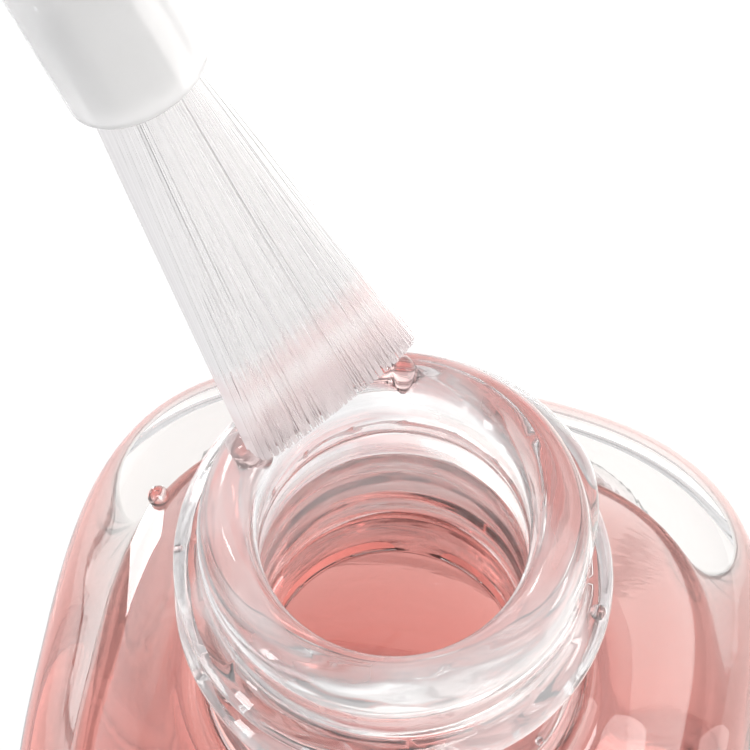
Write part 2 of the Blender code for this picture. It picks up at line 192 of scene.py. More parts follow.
class Look:
    # a material and its Principled shader
    def __init__(self, name, **fixed):
        self.material = bpy.data.materials.new(name)
        self.material.use_nodes = True
        self.tree = self.material.node_tree
        self.shader = self.tree.nodes["Principled BSDF"]
        self.output = self.tree.nodes["Material Output"]
        for socketName, value in fixed.items():
            self.shader.inputs[socketName.replace("_", " ")].default_value = value

    def node(self, kind, settings=None, output=0, **values):
        return addNode(self.tree, kind, settings, output, **values)

    def feed(self, socketName, wire):
        self.tree.links.new(wire.socket, self.shader.inputs[socketName])

    def spot(self):
        # Object coordinates, the fourth output
        return self.node("ShaderNodeTexCoord", output=3)

    def placed(self, stretch=(1, 1, 1)):
        return self.node("ShaderNodeMapping", Vector=self.spot(), Scale=stretch)

    def speckle(self, scale, detail=3.0, stretch=(1, 1, 1)):
        return self.node("ShaderNodeTexNoise", Vector=self.placed(stretch), Scale=scale, Detail=detail)

    def mark(self, name):
        # a number stored on the piece's points
        return self.node("ShaderNodeAttribute", {"attribute_name": name}, output=2)

    def strands(self, where, scale):
        return self.node("ShaderNodeTexNoise", {"noise_dimensions": "1D"}, W=where, Scale=scale, Detail=3.0)

    def ramp(self, wire, low, high):
        return self.node("ShaderNodeMapRange", {"clamp": True}, _0=wire, _1=low, _2=high, _3=0.0, _4=1.0)

    def blendColours(self, share, first, second):
        first, second = (paint if isinstance(paint, Wire) else (*paint, 1.0) for paint in (first, second))
        return self.node("ShaderNodeMix", {"data_type": "RGBA"}, output=2, _0=share, _6=first, _7=second)

    def bump(self, height, distance, strength):
        self.feed("Normal", self.node("ShaderNodeBump", Height=height, Distance=distance, Strength=strength))

    def layOver(self, share, other):
        # lays another shader over the look's own, thick where the share is high
        own = Wire(self.tree, self.shader.outputs[0])
        mixed = self.node("ShaderNodeMixShader", _0=share, _1=own, _2=other)
        self.tree.links.new(mixed.socket, self.output.inputs["Surface"])


glassLook = {
    "wetFrom": 10.5, "wetFull": 7.0, "clear": (0.985, 0.988, 0.99), "stain": (1.0, 0.68, 0.67),
    "streakSize": 1300.0, "streakStretch": (0.20, 0.20, 1.0), "streakFrom": 0.56, "streakFull": 0.64,
    "rippleSize": 620.0, "rippleStretch": (0.35, 0.35, 1.0), "rippleDepth": 0.09, "rippleStrength": 0.65,
    "bodyRipple": 0.06, "fineSize": 1612.0, "fineStretch": (0.25, 0.25, 1.0), "fineShare": 0.6,
    "veilSize": 900.0, "veilStretch": (0.16, 0.16, 1.0), "veilFrom": 0.47, "veilFull": 0.58,
    "veilLeast": 0.05, "veilMost": 0.42, "veilColour": (0.95, 0.93, 0.935), "veilRoughness": 0.1,
    "rimHaze": 0.07, "rimHazeDepth": 2.5,
}


def bottleGlass():
    # clear glass; polish has dried in thin streaks and a pale veil round the neck
    g = glassLook
    look = Look("clearBottleGlass", Roughness=0.0, IOR=1.5, Transmission_Weight=1.0)
    height = look.node("ShaderNodeSeparateXYZ", output=2, Vector=look.spot())
    neck = look.ramp(height, rimTop - g["wetFrom"] * mm, rimTop - g["wetFull"] * mm)
    rim = look.ramp(height, rimTop - g["rimHazeDepth"] * mm, rimTop)
    streaks = look.speckle(g["streakSize"], detail=2.0, stretch=g["streakStretch"])
    stained = neck * look.ramp(streaks, g["streakFrom"], g["streakFull"])
    look.feed("Base Color", look.blendColours(stained, g["clear"], g["stain"]))
    ripples = look.speckle(g["rippleSize"], detail=1.5, stretch=g["rippleStretch"])
    fine = look.speckle(g["fineSize"], detail=1.0, stretch=g["fineStretch"])
    waves = (ripples + g["fineShare"] * fine) * (g["bodyRipple"] + (1.0 - g["bodyRipple"]) * neck)
    look.bump(waves, g["rippleDepth"] * mm, g["rippleStrength"])
    cloth = look.speckle(g["veilSize"], detail=3.0, stretch=g["veilStretch"])
    patches = look.ramp(cloth, g["veilFrom"], g["veilFull"])
    share = neck * (g["veilLeast"] + (g["veilMost"] - g["veilLeast"]) * patches) + g["rimHaze"] * rim
    veil = look.node("ShaderNodeBsdfPrincipled", Base_Color=(*g["veilColour"], 1.0),
                     Roughness=g["veilRoughness"])
    look.layOver(share, veil)
    return look.material


polishLook = {
    "soak": (0.87, 0.36, 0.30), "density": 57.0, "clear": (1.0, 1.0, 1.0), "clouded": (1.0, 0.975, 0.97),
    "cloudSize": 160.0, "cloudFrom": 0.4, "cloudFull": 0.7,
}


def polishLiquid():
    p = polishLook
    look = Look("sheerPinkPolish", Roughness=0.0, IOR=1.5, Transmission_Weight=1.0)
    cloud = look.ramp(look.speckle(p["cloudSize"], detail=2.0), p["cloudFrom"], p["cloudFull"])
    look.feed("Base Color", look.blendColours(cloud, p["clear"], p["clouded"]))
    soak = look.node("ShaderNodeVolumeAbsorption", Color=(*p["soak"], 1.0), Density=p["density"])
    look.tree.links.new(soak.socket, look.output.inputs["Volume"])
    return look.material


filmLook = {
    "pale": (1.0, 0.94, 0.935), "pink": (1.0, 0.84, 0.83),
    "tintSize": 500.0, "tintFrom": 0.35, "tintFull": 0.65,
    "grainSize": 900.0, "grainDepth": 0.03, "grainStrength": 0.3,
}


def wetFilm():
    f = filmLook
    look = Look("wetPolishFilm", Roughness=0.0, IOR=1.45, Transmission_Weight=1.0)
    tint = look.ramp(look.speckle(f["tintSize"], detail=2.0), f["tintFrom"], f["tintFull"])
    look.feed("Base Color", look.blendColours(tint, f["pale"], f["pink"]))
    look.bump(look.speckle(f["grainSize"], detail=1.0), f["grainDepth"] * mm, f["grainStrength"])
    return look.material


stemLook = {
    "clear": (0.99, 0.99, 0.99), "misted": (0.95, 0.95, 0.955), "seeThrough": 0.56,
    "mistSize": 260.0, "mistFrom": 0.3, "mistFull": 0.7, "rough": 0.05, "mistRough": 0.10,
    "grainSize": 1500.0, "grainStretch": (1, 1, 0.15), "grainDepth": 0.02, "grainStrength": 0.35,
}


def clearPlastic():
    s = stemLook
    look = Look("clearStemPlastic", IOR=1.49, Transmission_Weight=s["seeThrough"])
    mist = look.ramp(look.speckle(s["mistSize"], detail=4.0), s["mistFrom"], s["mistFull"])
    look.feed("Base Color", look.blendColours(mist, s["clear"], s["misted"]))
    look.feed("Roughness", s["rough"] + s["mistRough"] * mist)
    grain = look.speckle(s["grainSize"], stretch=s["grainStretch"])
    look.bump(grain, s["grainDepth"] * mm, s["grainStrength"])
    return look.material


bristleLook = {
    "dry": (0.83, 0.815, 0.825), "shade": (0.71, 0.695, 0.705), "wet": (0.79, 0.655, 0.66),
    "band": (0.85, 0.79, 0.795), "wetFrom": 0.785, "wetFull": 0.85, "wetGrain": 0.12,
    "fadeFrom": 0.90, "fade": 0.4, "bandRise": (0.83, 0.86), "bandFall": (0.88, 0.92), "bandGrain": 0.06,
    "bandShare": 0.7, "dryRough": 0.36, "wetGloss": 0.24, "wetCoat": 0.8,
}


def bristleNylon(name, streak, seeThrough):
    # colour follows the bristle: pale nylon above, with darker streaks along the strands that are partly
    # their own tone and partly painted shade between bristles, soaked with polish towards the tip
    b = bristleLook
    look = Look(name, IOR=1.53, Transmission_Weight=seeThrough)
    along = look.mark("along")
    grain = look.strands(look.mark("lane") * streak, 1.0)
    # darker streaks along the strands: partly the nylon's tone, partly painted shade between bristles
    dryToneAndShade = look.blendColours(look.ramp(grain, 0.3, 0.7), b["dry"], b["shade"])
    edge = look.ramp(along + b["wetGrain"] * grain, b["wetFrom"], b["wetFull"])
    fade = 1.0 - b["fade"] * look.ramp(along, b["fadeFrom"], 1.0)
    stained = look.blendColours(edge * fade, dryToneAndShade, b["wet"])
    level = along + b["bandGrain"] * grain
    band = look.ramp(level, *b["bandRise"]) * (1.0 - look.ramp(level, *b["bandFall"]))
    look.feed("Base Color", look.blendColours(band * b["bandShare"], stained, b["band"]))
    look.feed("Roughness", b["dryRough"] - b["wetGloss"] * edge)
    look.feed("Coat Weight", b["wetCoat"] * edge)
    return look.material


steelLook = {
    "light": (0.78, 0.78, 0.79), "dark": (0.62, 0.62, 0.64),
    "rubSize": 1800.0, "rough": 0.08, "rubRough": 0.12,
}


def polishedSteel():
    s = steelLook
    look = Look("polishedSteel", Metallic=1.0)
    rub = look.speckle(s["rubSize"], detail=4.0)
    look.feed("Base Color", look.blendColours(rub, s["light"], s["dark"]))
    look.feed("Roughness", s["rough"] + s["rubRough"] * rub)
    return look.material


innerCapLook = {
    "light": (0.92, 0.92, 0.91), "dark": (0.87, 0.87, 0.86), "rough": 0.32, "cloudRough": 0.08,
    "cloudSize": 120.0, "grainSize": 720.0, "grainDepth": 0.01, "grainStrength": 0.3,
}


def whitePlastic():
    c = innerCapLook
    look = Look("satinWhitePlastic", IOR=1.5)
    cloud = look.speckle(c["cloudSize"], detail=5.0)
    look.feed("Base Color", look.blendColours(cloud, c["light"], c["dark"]))
    look.feed("Roughness", c["rough"] + c["cloudRough"] * cloud)
    look.bump(look.speckle(c["grainSize"]), c["grainDepth"] * mm, c["grainStrength"])
    return look.material


overcapLook = {
    "light": (0.56, 0.555, 0.55), "dark": (0.42, 0.415, 0.41),
    "markSize": 60.0, "rough": 0.22, "markRough": 0.12,
}


def satinSilver():
    # anodised shell with faint marks along its length
    c = overcapLook
    look = Look("satinSilverCap", Metallic=1.0)
    brushed = look.strands(look.mark("lane"), c["markSize"])
    look.feed("Base Color", look.blendColours(brushed, c["light"], c["dark"]))
    look.feed("Roughness", c["rough"] + c["markRough"] * brushed)
    return look.material


sealLook = {
    "light": (0.97, 0.97, 0.95), "dark": (0.90, 0.90, 0.88),
    "cellSize": 3500.0, "cellFrom": 0.1, "cellFull": 0.7, "cellDepth": 0.05, "cellStrength": 0.6,
}


def sealFoam():
    s = sealLook
    look = Look("sealFoam", Roughness=0.8, IOR=1.45)
    cells = look.node("ShaderNodeTexVoronoi", Vector=look.placed(), Scale=s["cellSize"])
    # cells darker in their pits, where the bump sinks: painted shade
    walls = look.ramp(cells, s["cellFrom"], s["cellFull"])
    look.feed("Base Color", look.blendColours(walls, s["dark"], s["light"]))
    look.bump(cells, s["cellDepth"] * mm, s["cellStrength"])
    return look.material


tableLook = {
    "light": (0.46, 0.46, 0.463), "dark": (0.43, 0.43, 0.433), "cloudSize": 6.0,
    "glow": 0.8, "glowReach": 22.0, "glowLeft": (0.62, 0.61, 0.615), "glowRight": (1.75, 1.70, 1.63),
    "white": (1.0, 1.0, 1.0), "whiteStrength": 1.05, "whiteReach": 75.0,
    "far": (0.70, 0.70, 0.705), "farReach": 225.0,
}


def paleFloor():
    # a white table that glows: to the camera a painted pool of light, white round the bottle and greyer far
    # off; to the glass a softer glow, brighter on the right, that lights it
    t = tableLook
    look = Look("paleFloor", Roughness=0.6, Emission_Strength=t["glow"])
    cloud = look.speckle(t["cloudSize"], detail=2.0)
    look.feed("Base Color", look.blendColours(cloud, t["light"], t["dark"]))
    across = look.node("ShaderNodeSeparateXYZ", output=0, Vector=look.spot())
    side = look.ramp(across, -t["glowReach"] * mm, t["glowReach"] * mm)
    look.feed("Emission Color", look.blendColours(side, t["glowLeft"], t["glowRight"]))
    # painted pool of light seen by the camera: white round the bottle, greyer far off
    centre = look.node("ShaderNodeVectorMath", {"operation": "LENGTH"}, output=1, Vector=look.spot())
    away = look.ramp(centre, t["whiteReach"] * mm, t["farReach"] * mm)
    pale = look.blendColours(away, t["white"], t["far"])
    paintedPool = look.node("ShaderNodeEmission", Color=pale, Strength=t["whiteStrength"])
    look.layOver(look.node("ShaderNodeLightPath"), paintedPool)
    return look.material


glass = bottleGlass()
liquid = polishLiquid()
film = wetFilm()
plastic = clearPlastic()
steel = polishedSteel()
print("materials made")


bottleShape = {
    "halfWidth": 11.25, "halfDepth": 11.4, "squareness": 3.2,
    "foot": 0.95, "baseEdge": 1.6, "shoulder": 38.0, "neckBase": 42.3, "shoulderPower": 2.2,
    "pushUp": ((0.0, 0.25), (0.35, 0.2), (0.62, 0.05), (0.70, 0.0)),  # share of the half depth, height
    "wall": 2.65, "floor": 5.0, "cavityRound": 3.0, "cavityTop": 41.0, "cavityShoulder": 36.8,
    "floorBulge": ((0.45, 0.05), (0.2, 0.15), (0.0, 0.2)),  # share of the cavity's half depth, height
    "neckRadius": 5.85, "neckFoot": 7.0, "neckFootHeight": 1.4, "bore": 4.05, "rimRound": 0.85,
    "threadHeight": 0.75, "threadPitch": 2.12, "threadTurns": 2.0, "threadStart": 1.9,
    "threadHalfWidth": 0.72, "threadRunOut": 0.12, "threadCrest": 0.8, "threadClear": 1.0,
    "boreRipple": 0.03, "rippleTurns": 1.5, "rippleFrom": 45.0,
    "skin": 0.02, "slack": 0.3, "smooth": 60,
}
bottleSteps = {
    "round": 160, "edge": 10, "side": 14, "dome": 28, "neckFoot": 8, "neckWall": 76, "rim": 12, "bore": 84,
    "cavityDome": 24, "cavitySide": 9, "cavityEdge": 12,
}


def bodyOutline(angle):
    # plan outline of the body against a radius of one: a square with bowed sides
    s = bottleShape
    across = abs(math.cos(angle)) / s["halfWidth"]
    along = abs(math.sin(angle)) / s["halfDepth"]
    return (across ** s["squareness"] + along ** s["squareness"]) ** (-1.0 / s["squareness"]) / s["halfDepth"]


def domePoints(body, neck, low, high, power, steps):
    # outline of a domed shoulder from the body's side up to the neck
    points = []
    for step in range(steps + 1):
        angle = 0.5 * math.pi * step / steps
        left = math.cos(angle) ** (2.0 / power)
        rise = math.sin(angle) ** (2.0 / power)
        points.append((body * left + neck * (1.0 - left), low + (high - low) * rise))
    return points


def bottleProfile():
    s = bottleShape
    steps = bottleSteps
    top = rimTop / mm
    body = s["halfDepth"]
    points = [(share * body, height) for share, height in s["pushUp"]]
    footRadius = body * s["foot"]
    points += arcPoints((footRadius - s["baseEdge"], s["baseEdge"]), s["baseEdge"], -90, 0, steps["edge"])
    for step in range(1, steps["side"]):
        share = step / steps["side"]
        points.append((body * (s["foot"] + (1.0 - s["foot"]) * math.sin(0.5 * math.pi * share)),
                       s["baseEdge"] + (s["shoulder"] - s["baseEdge"]) * share))
    points += domePoints(body, s["neckFoot"], s["shoulder"], s["neckBase"], s["shoulderPower"], steps["dome"])
    foot = s["neckFoot"] - s["neckRadius"]
    for step in range(1, steps["neckFoot"] + 1):
        angle = 0.5 * math.pi * step / steps["neckFoot"]
        points.append((s["neckFoot"] - foot * math.sin(angle),
                       s["neckBase"] + s["neckFootHeight"] * (1.0 - math.cos(angle))))
    wallStart = s["neckBase"] + s["neckFootHeight"]
    wallEnd = top - s["rimRound"]
    points += [(s["neckRadius"], wallStart + (wallEnd - wallStart) * step / steps["neckWall"])
               for step in range(1, steps["neckWall"])]
    points += arcPoints((s["neckRadius"] - s["rimRound"], wallEnd), s["rimRound"], 0, 90, steps["rim"])
    points += arcPoints((s["bore"] + s["rimRound"], wallEnd), s["rimRound"], 90, 180, steps["rim"])
    for step in range(1, steps["bore"]):
        points.append((s["bore"], wallEnd + (s["cavityTop"] - wallEnd) * step / steps["bore"]))
    return points + cavityProfile(0.0)


def cavityProfile(grow):
    # the cavity's wall from its neck down to the middle of its floor
    s = bottleShape
    steps = bottleSteps
    body = s["halfDepth"] - s["wall"] + grow
    points = domePoints(body, s["bore"] + grow, s["cavityShoulder"], s["cavityTop"] + grow,
                        s["shoulderPower"], steps["cavityDome"])
    points.reverse()
    lower = s["floor"] - grow
    for step in range(1, steps["cavitySide"]):
        drop = (lower + s["cavityRound"] - s["cavityShoulder"]) * step / steps["cavitySide"]
        points.append((body, s["cavityShoulder"] + drop))
    points += arcPoints((body - s["cavityRound"], lower + s["cavityRound"]), s["cavityRound"], 0, -90,
                        steps["cavityEdge"])
    return points + [(share * body, lower + rise) for share, rise in s["floorBulge"]]


def squareShare(height):
    # how far a level takes the body's plan outline: all below the shoulder, none at the neck
    s = bottleShape
    rise = (height / mm - s["shoulder"]) / (s["neckBase"] - s["shoulder"])
    if rise <= 0.0:
        return 1.0
    if rise >= 1.0:
        return 0.0
    return (1.0 - rise ** s["shoulderPower"]) ** (1.0 / s["shoulderPower"])


def squareUp(piece, insideOnly=False):
    # bows the turned body out to its square plan
    s = bottleShape
    bore = s["bore"] * mm
    cavity = (s["halfDepth"] - s["wall"]) * mm
    for vertex in piece.data.vertices:
        radius = math.hypot(vertex.co.x, vertex.co.y)
        if radius < s["skin"] * mm or vertex.co.z > s["neckBase"] * mm:
            continue
        angle = math.atan2(vertex.co.y, vertex.co.x)
        inner = vertex.co.z < (s["cavityTop"] + s["slack"]) * mm
        inner = inner and radius < (s["halfDepth"] - s["wall"] + s["slack"]) * mm
        inner = inner and vertex.co.z > s["floor"] * mm - s["slack"] * mm
        if not inner and not insideOnly:
            share = squareShare(vertex.co.z)
        elif vertex.co.z < s["cavityShoulder"] * mm:
            share = 1.0
        else:
            share = min(1.0, max(0.0, (radius - bore) / (cavity - bore)))
        factor = 1.0 + share * (bodyOutline(angle) - 1.0)
        vertex.co.x *= factor
        vertex.co.y *= factor


def threadRise(angle, depth):
    # height of the helical thread over the neck's wall
    s = bottleShape
    rise = 0.0
    for turn in range(math.ceil(s["threadTurns"])):
        along = angle / fullTurn + turn
        if along > s["threadTurns"]:
            continue
        offset = abs(depth - s["threadStart"] - s["threadPitch"] * along)
        if offset < s["threadHalfWidth"]:
            runIn = min(1.0, along / s["threadRunOut"], (s["threadTurns"] - along) / s["threadRunOut"])
            runIn = runIn * runIn * (3.0 - 2.0 * runIn)
            crest = math.cos(0.5 * math.pi * offset / s["threadHalfWidth"]) ** s["threadCrest"]
            rise = max(rise, runIn * crest)
    return rise * s["threadHeight"] * mm


def cutThread(piece):
    s = bottleShape
    neckWall = (s["neckRadius"] - s["skin"]) * mm
    for vertex in piece.data.vertices:
        radius = math.hypot(vertex.co.x, vertex.co.y)
        if radius < neckWall or vertex.co.z < (s["neckBase"] + s["threadClear"]) * mm:
            continue
        angle = math.atan2(vertex.co.y, vertex.co.x) % fullTurn
        rise = threadRise(angle, (rimTop - vertex.co.z) / mm)
        vertex.co.x *= 1.0 + rise / radius
        vertex.co.y *= 1.0 + rise / radius


def rippleBore(piece):
    # moulding leaves the bore slightly wavy behind the thread
    s = bottleShape
    low = s["rippleFrom"] * mm
    high = rimTop - s["rimRound"] * mm
    for vertex in piece.data.vertices:
        radius = math.hypot(vertex.co.x, vertex.co.y)
        if radius > (s["bore"] + s["skin"]) * mm or not low < vertex.co.z < high:
            continue
        turn = math.atan2(vertex.co.y, vertex.co.x)
        fade = min(1.0, (vertex.co.z - low) / mm, (high - vertex.co.z) / mm)
        wave = math.sin(s["rippleTurns"] * fullTurn * vertex.co.z / (s["threadPitch"] * mm) + turn)
        factor = 1.0 + wave * fade * s["boreRipple"] / s["bore"]
        vertex.co.x *= factor
        vertex.co.y *= factor


def makeBottle():
    bottle = spinProfile("glassBottle", bottleProfile(), bottleSteps["round"])
    squareUp(bottle)
    cutThread(bottle)
    rippleBore(bottle)
    finishPiece(bottle, bottleShape["smooth"], glass)
    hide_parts("glass_bottle")
    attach(bottle, "bottle")
    return bottle


polishShape = {
    "fill": 44.6, "overlap": 0.04, "dip": 0.22, "dipPower": 7, "lap": 0.3,
    "dipRings": (0.0, 0.3, 0.55, 0.72, 0.84, 0.92, 0.97), "wallSteps": 4, "roundSteps": 128, "smooth": 50,
}


def makePolish():
    # fills the cavity and part of the neck, laps just into the glass and climbs it in a meniscus
    p = polishShape
    wall = bottleShape["bore"] + p["overlap"]
    points = [(wall * share, p["fill"] - p["dip"] * (1.0 - share ** p["dipPower"]))
              for share in p["dipRings"]]
    for step in range(p["wallSteps"] + 1):
        drop = (bottleShape["cavityTop"] + p["lap"] - p["fill"]) * step / p["wallSteps"]
        points.append((wall, p["fill"] + drop))
    polish = spinProfile("nailPolish", points + cavityProfile(p["overlap"]), p["roundSteps"])
    squareUp(polish, insideOnly=True)
    finishPiece(polish, p["smooth"], liquid)
    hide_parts("nail_polish")
    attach(polish, "bottle")


beadShape = {
    "ringRadius": 4.85, "thickness": 0.26, "from": 90.0, "to": 172.0, "taper": 9.0,
    "swell": ((163.0, 7.0, 0.50), (97.0, 4.5, 0.34)),  # middle and width in degrees, extra thickness
    "sunk": 0.1, "wobble": 0.15, "wobbleSize": 900.0, "roundSteps": 360, "sectionSteps": 20,
    "mergeWithin": 0.004, "smooth": 60,
}


def beadThickness(angle):
    # half thickness of the wet bead along the rim, angle in degrees
    b = beadShape
    nearest = min(angle - b["from"], b["to"] - angle)
    if nearest <= 0.0:
        return 0.0
    thick = b["thickness"]
    for middle, width, extra in b["swell"]:
        thick += extra * math.exp(-((angle - middle) / width) ** 2)
    return thick * math.sin(0.5 * math.pi * min(1.0, nearest / b["taper"]))


def makeWetBead():
    # polish wiped off the brush: a bead lying along the rim
    b = beadShape
    deselectAll()
    bpy.ops.mesh.primitive_torus_add(major_segments=b["roundSteps"], minor_segments=b["sectionSteps"],
                                     major_radius=b["ringRadius"] * mm, minor_radius=mm, location=(0, 0, 0))
    bead = nameIt("wetBead")
    for vertex in bead.data.vertices:
        turn = math.atan2(vertex.co.y, vertex.co.x) % fullTurn
        thick = beadThickness(math.degrees(turn))
        away = math.hypot(vertex.co.x, vertex.co.y) - b["ringRadius"] * mm
        wobble = 1.0 + b["wobble"] * noise.noise(vertex.co * b["wobbleSize"])
        radius = b["ringRadius"] * mm + away * thick * wobble
        height = rimTop - b["sunk"] * mm + vertex.co.z * thick * wobble
        vertex.co = Vector((radius * math.cos(turn), radius * math.sin(turn), height))
    startEdit(bead)
    bpy.ops.mesh.select_all(action="SELECT")
    bpy.ops.mesh.remove_doubles(threshold=b["mergeWithin"] * mm)
    bpy.ops.mesh.delete_loose()
    bpy.ops.mesh.select_all(action="SELECT")
    bpy.ops.mesh.dissolve_degenerate(threshold=b["mergeWithin"] * mm)
    endEdit()
    finishPiece(bead, b["smooth"], film)
    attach(bead, "bottle")


dropShape = {
    # radius, turn in degrees, height and size of each
    "drops": ((6.3, -2.0, 50.1, 0.25), (9.4, 152.0, 42.0, 0.34), (6.0, -118.0, 47.2, 0.2),
              (6.4, -64.0, 49.0, 0.15), (6.4, -92.0, 50.4, 0.18), (6.1, 214.0, 47.6, 0.17),
              (6.4, -36.0, 47.9, 0.14), (6.2, 186.0, 49.8, 0.13)),
    "lift": 0.3, "subdivisions": 4, "smooth": 60,
}


def makeDrops(bottle):
    # small beads of polish, each seated on the glass nearest to its radius, turn and height
    for number, (radius, turn, height, size) in enumerate(dropShape["drops"]):
        turn = math.radians(turn)
        near = Vector((radius * mm * math.cos(turn), radius * mm * math.sin(turn), height * mm))
        seat, outward = bottle.closest_point_on_mesh(near)[1:3]
        spot = seat + outward * dropShape["lift"] * size * mm
        deselectAll()
        bpy.ops.mesh.primitive_ico_sphere_add(subdivisions=dropShape["subdivisions"], radius=size * mm,
                                              location=spot)
        drop = nameIt(f"polishDrop{number + 1}")
        applyPlace()
        finishPiece(drop, dropShape["smooth"], film)
        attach(drop, "bottle")


bottle = makeBottle()
makePolish()
makeWetBead()
makeDrops(bottle)
print("bottle and polish made")


ballShape = {"segments": 48, "rings": 24, "smoothing": 0.2, "smooth": 60}


def makeBall(number):
    b = ballShape
    node = f"mixing_ball_{number}"
    low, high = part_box(node)
    deselectAll()
    bpy.ops.mesh.primitive_uv_sphere_add(segments=b["segments"], ring_count=b["rings"],
                                         radius=0.5 * (high.x - low.x), location=(low + high) * 0.5)
    ball = nameIt(f"mixingBall{number}")
    startEdit(ball)
    bpy.ops.mesh.select_all(action="SELECT")
    bpy.ops.mesh.vertices_smooth(factor=b["smoothing"], repeat=1)
    endEdit()
    applyPlace()
    finishPiece(ball, b["smooth"], steel)
    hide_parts(node)
    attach(ball, f"ball_{number}")


for number in (1, 2):
    makeBall(number)
print("mixing balls made")


tuftShape = {
    "length": 14.0, "rootRadius": 1.75, "rootDepth": 3.2, "tipHalfWidth": 3.1, "tipHalfThickness": 0.65,
    "rootSquareness": 2.0, "tipSquareness": 4.2, "packed": 0.97, "bendLength": 2.6,
    "thinning": 1.6, "boxing": 0.8, "bendClear": 0.05,
}
coreShape = {
    "roundSteps": 144, "rings": 15, "reach": 0.94,
    "tip": ((0.965, 0.97), (0.98, 0.90), (0.990, 0.75), (0.995, 0.3)),
    "fluteTurns": 9.0, "fluteLength": 0.8, "fluteDepth": 0.022, "laneWidth": 2.0,
    "streak": 26.0, "seeThrough": 0.1, "smooth": 60,
}


def tuftSize(share):
    # half width and half thickness of the tuft, in millimetres, from its mouth (0) to its tip (1)
    s = tuftShape
    share = max(0.0, share)
    halfWidth = s["rootRadius"] + (s["tipHalfWidth"] - s["rootRadius"]) * share
    spare = s["rootRadius"] - s["tipHalfThickness"]
    halfThickness = s["tipHalfThickness"] + spare * (1.0 - share) ** s["thinning"]
    return halfWidth, halfThickness


def tuftCorner(turn, share):
    # how far the tuft's outline stands out at a turn: round at the root, boxy with soft corners at the tip
    s = tuftShape
    power = s["rootSquareness"] + (s["tipSquareness"] - s["rootSquareness"]) * max(0.0, share) ** s["boxing"]
    return (abs(math.cos(turn)) ** power + abs(math.sin(turn)) ** power) ** (-1.0 / power)


def markBristles(piece, values):
    for name in ("along", "lane"):
        attribute = piece.data.attributes.new(name, "FLOAT", "POINT")
        attribute.data.foreach_set("value", values[name])


def makeCore():
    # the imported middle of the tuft, drawn ring by ring from root to tip
    s = tuftShape
    c = coreShape
    full = s["packed"]
    stations = [(-s["rootDepth"] / s["length"], full)]
    stations += [(c["reach"] * step / c["rings"], full) for step in range(c["rings"] + 1)]
    stations += [(share, part * full) for share, part in c["tip"]]
    deselectAll()
    bpy.ops.mesh.primitive_circle_add(vertices=c["roundSteps"], radius=mm, fill_type="NGON",
                                      location=(0, 0, 0))
    core = nameIt("bristleCore")
    bpy.ops.object.mode_set(mode="EDIT")
    bpy.ops.mesh.select_all(action="SELECT")
    width, thickness = tuftSize(stations[0][0])
    bpy.ops.transform.resize(value=(width * stations[0][1], thickness * stations[0][1], 1))
    bpy.ops.transform.translate(value=(0, 0, -stations[0][0] * s["length"] * mm))
    for before, after in zip(stations, stations[1:]):
        oldWidth, oldThickness = tuftSize(before[0])
        newWidth, newThickness = tuftSize(after[0])
        drop = -(after[0] - before[0]) * s["length"] * mm
        bpy.ops.mesh.extrude_region_move(TRANSFORM_OT_translate={"value": (0, 0, drop)})
        bpy.ops.transform.resize(value=(newWidth * after[1] / (oldWidth * before[1]),
                                        newThickness * after[1] / (oldThickness * before[1]), 1))
    bpy.ops.mesh.select_all(action="SELECT")
    bpy.ops.mesh.normals_make_consistent(inside=False)
    endEdit()
    along = [-vertex.co.z / (s["length"] * mm) for vertex in core.data.vertices]
    lane = []
    for vertex, share in zip(core.data.vertices, along):
        width, thickness = tuftSize(share)
        turn = math.atan2(vertex.co.y / thickness, vertex.co.x / width)
        spot = Vector((c["fluteTurns"] * math.cos(turn), c["fluteTurns"] * math.sin(turn),
                       c["fluteLength"] * share))
        flute = tuftCorner(turn, share) * (1.0 + c["fluteDepth"] * noise.noise(spot))
        vertex.co.x *= flute
        vertex.co.y *= flute
        lane.append(math.sin(turn) + c["laneWidth"] * vertex.co.x / (width * mm))
    markBristles(core, {"along": along, "lane": lane})
    nylon = bristleNylon("packedBristles", c["streak"], c["seeThrough"])
    finishPiece(core, c["smooth"], nylon, brushPlace)
    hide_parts("bristle_tuft")
    return core


bristleShape = {
    "count": 1100, "radius": 0.032, "sides": 4, "stations": 9, "seed": 7, "innerEvery": 5,
    "outerSpread": (0.965, 0.985), "innerSpread": (0.1, 0.9),
    "cornerShort": 0.03, "cornerPower": 6, "ragged": 0.009,
    "wander": 0.04, "wanderTurns": 3.0, "rooted": 0.15, "tipTaper": 0.55, "laneStep": 0.37,
    "streak": 5.0, "seeThrough": 0.25, "smooth": 80,
}


def filamentPath(rng, outer):
    # one bristle from the socket to the tip, as points in millimetres
    b = bristleShape
    turn = rng.uniform(0.0, fullTurn)
    spread = rng.uniform(*b["outerSpread"]) if outer else math.sqrt(rng.uniform(*b["innerSpread"]))
    end = 1.0 - b["cornerShort"] * abs(math.cos(turn)) ** b["cornerPower"] - b["ragged"] * rng.random() ** 2
    wander = b["wander"] * rng.uniform(-1.0, 1.0)
    points = []
    for station in range(b["stations"]):
        share = -b["rooted"] + (end + b["rooted"]) * station / (b["stations"] - 1)
        width, thickness = tuftSize(share)
        bent = turn + wander * math.sin(b["wanderTurns"] * share + turn)
        reach = spread * tuftCorner(bent, share)
        height = -share * tuftShape["length"]
        points.append((width * math.cos(bent) * reach, thickness * math.sin(bent) * reach, height))
    return points, turn


